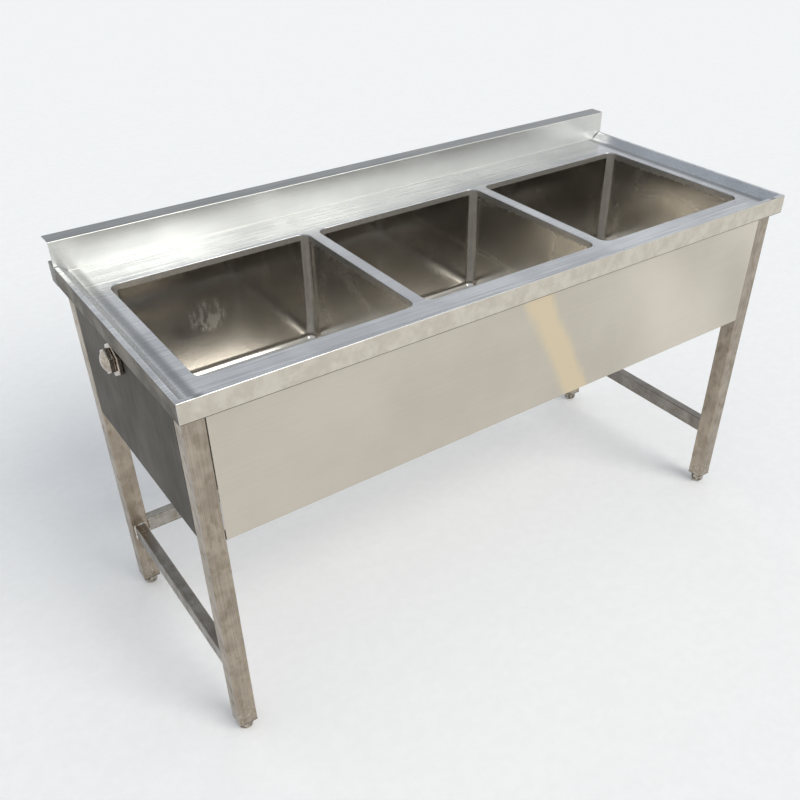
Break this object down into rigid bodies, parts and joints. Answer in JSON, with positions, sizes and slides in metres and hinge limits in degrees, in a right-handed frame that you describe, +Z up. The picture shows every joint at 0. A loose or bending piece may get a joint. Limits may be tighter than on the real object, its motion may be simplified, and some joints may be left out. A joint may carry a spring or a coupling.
{
  "type": "three compartment sink",
  "caption": "Free-standing stainless steel sink: welded basins side by side in a folded top with a splashback, an apron and end panels, and a square-tube leg frame on screw feet.",
  "frame": {"origin": "on the floor, under the middle of the whole object's bounding box", "axes": "+X from the left end to the right end as the user faces the front, +Y from the front to the wall, +Z up"},
  "size_m": [1.52, 0.64, 0.903],
  "materials": {
    "deck_steel": "long-grain brushed stainless steel",
    "cream_steel": "dull mill-finish stainless steel",
    "panel_steel": "dull mill-finish stainless steel, dirty",
    "basin_steel": "smooth stainless steel with fine wear and dried water marks",
    "tube_steel": "polished stainless tube, smeared",
    "bright_steel": "bright turned stainless steel",
    "gasket_rubber": "moulded",
    "nylon": "moulded nylon"
  },
  "bodies": {
    "frame": {"deck_top": "deck_steel", "splashback": "cream_steel", "rear_channel": "cream_steel", "basin_left": "basin_steel", "strainer_body_left": "bright_steel", "strainer_gasket_left": "gasket_rubber", "strainer_back_nut_left": "bright_steel", "coupling_nut_left": "bright_steel", "tailpiece_left": "bright_steel", "basin_middle": "basin_steel", "strainer_body_middle": "bright_steel", "strainer_gasket_middle": "gasket_rubber", "strainer_back_nut_middle": "bright_steel", "coupling_nut_middle": "bright_steel", "tailpiece_middle": "bright_steel", "basin_right": "basin_steel", "strainer_body_right": "bright_steel", "strainer_gasket_right": "gasket_rubber", "strainer_back_nut_right": "bright_steel", "coupling_nut_right": "bright_steel", "tailpiece_right": "bright_steel", "front_apron": "cream_steel", "left_end_panel": "panel_steel", "right_end_panel": "panel_steel", "leg_front_left": "tube_steel", "leg_insert_front_left": "nylon", "leg_front_right": "tube_steel", "leg_insert_front_right": "nylon", "leg_rear_left": "tube_steel", "leg_insert_rear_left": "nylon", "leg_rear_right": "tube_steel", "leg_insert_rear_right": "nylon", "left_side_brace": "tube_steel", "right_side_brace": "tube_steel", "rear_lower_rail": "tube_steel", "upper_left_rail": "tube_steel", "upper_right_rail": "tube_steel", "upper_front_rail": "tube_steel", "upper_rear_rail": "tube_steel", "overflow_pipe": "bright_steel", "overflow_rosette": "bright_steel", "overflow_flange_nut": "bright_steel", "overflow_cap": "bright_steel"},
    "foot_front_left": {"foot_front_left": "tube_steel"},
    "foot_front_right": {"foot_front_right": "tube_steel"},
    "foot_rear_left": {"foot_rear_left": "tube_steel"},
    "foot_rear_right": {"foot_rear_right": "tube_steel"},
    "basket_left": {"strainer_basket_left": "bright_steel"},
    "basket_middle": {"strainer_basket_middle": "bright_steel"},
    "basket_right": {"strainer_basket_right": "bright_steel"}
  },
  "joints": [
    {"name": "foot_front_left_screw", "type": "slide", "parent": "frame", "child": "foot_front_left", "axis": [0, 0, -1], "range_m": [0, 0.025]},
    {"name": "foot_front_right_screw", "type": "slide", "parent": "frame", "child": "foot_front_right", "axis": [0, 0, -1], "range_m": [0, 0.025]},
    {"name": "foot_rear_left_screw", "type": "slide", "parent": "frame", "child": "foot_rear_left", "axis": [0, 0, -1], "range_m": [0, 0.025]},
    {"name": "foot_rear_right_screw", "type": "slide", "parent": "frame", "child": "foot_rear_right", "axis": [0, 0, -1], "range_m": [0, 0.025]},
    {"name": "basket_left_lift", "type": "slide", "parent": "frame", "child": "basket_left", "axis": [0, 0, 1], "range_m": [0, 0.37]},
    {"name": "basket_middle_lift", "type": "slide", "parent": "frame", "child": "basket_middle", "axis": [0, 0, 1], "range_m": [0, 0.37]},
    {"name": "basket_right_lift", "type": "slide", "parent": "frame", "child": "basket_right", "axis": [0, 0, 1], "range_m": [0, 0.37]}
  ]
}
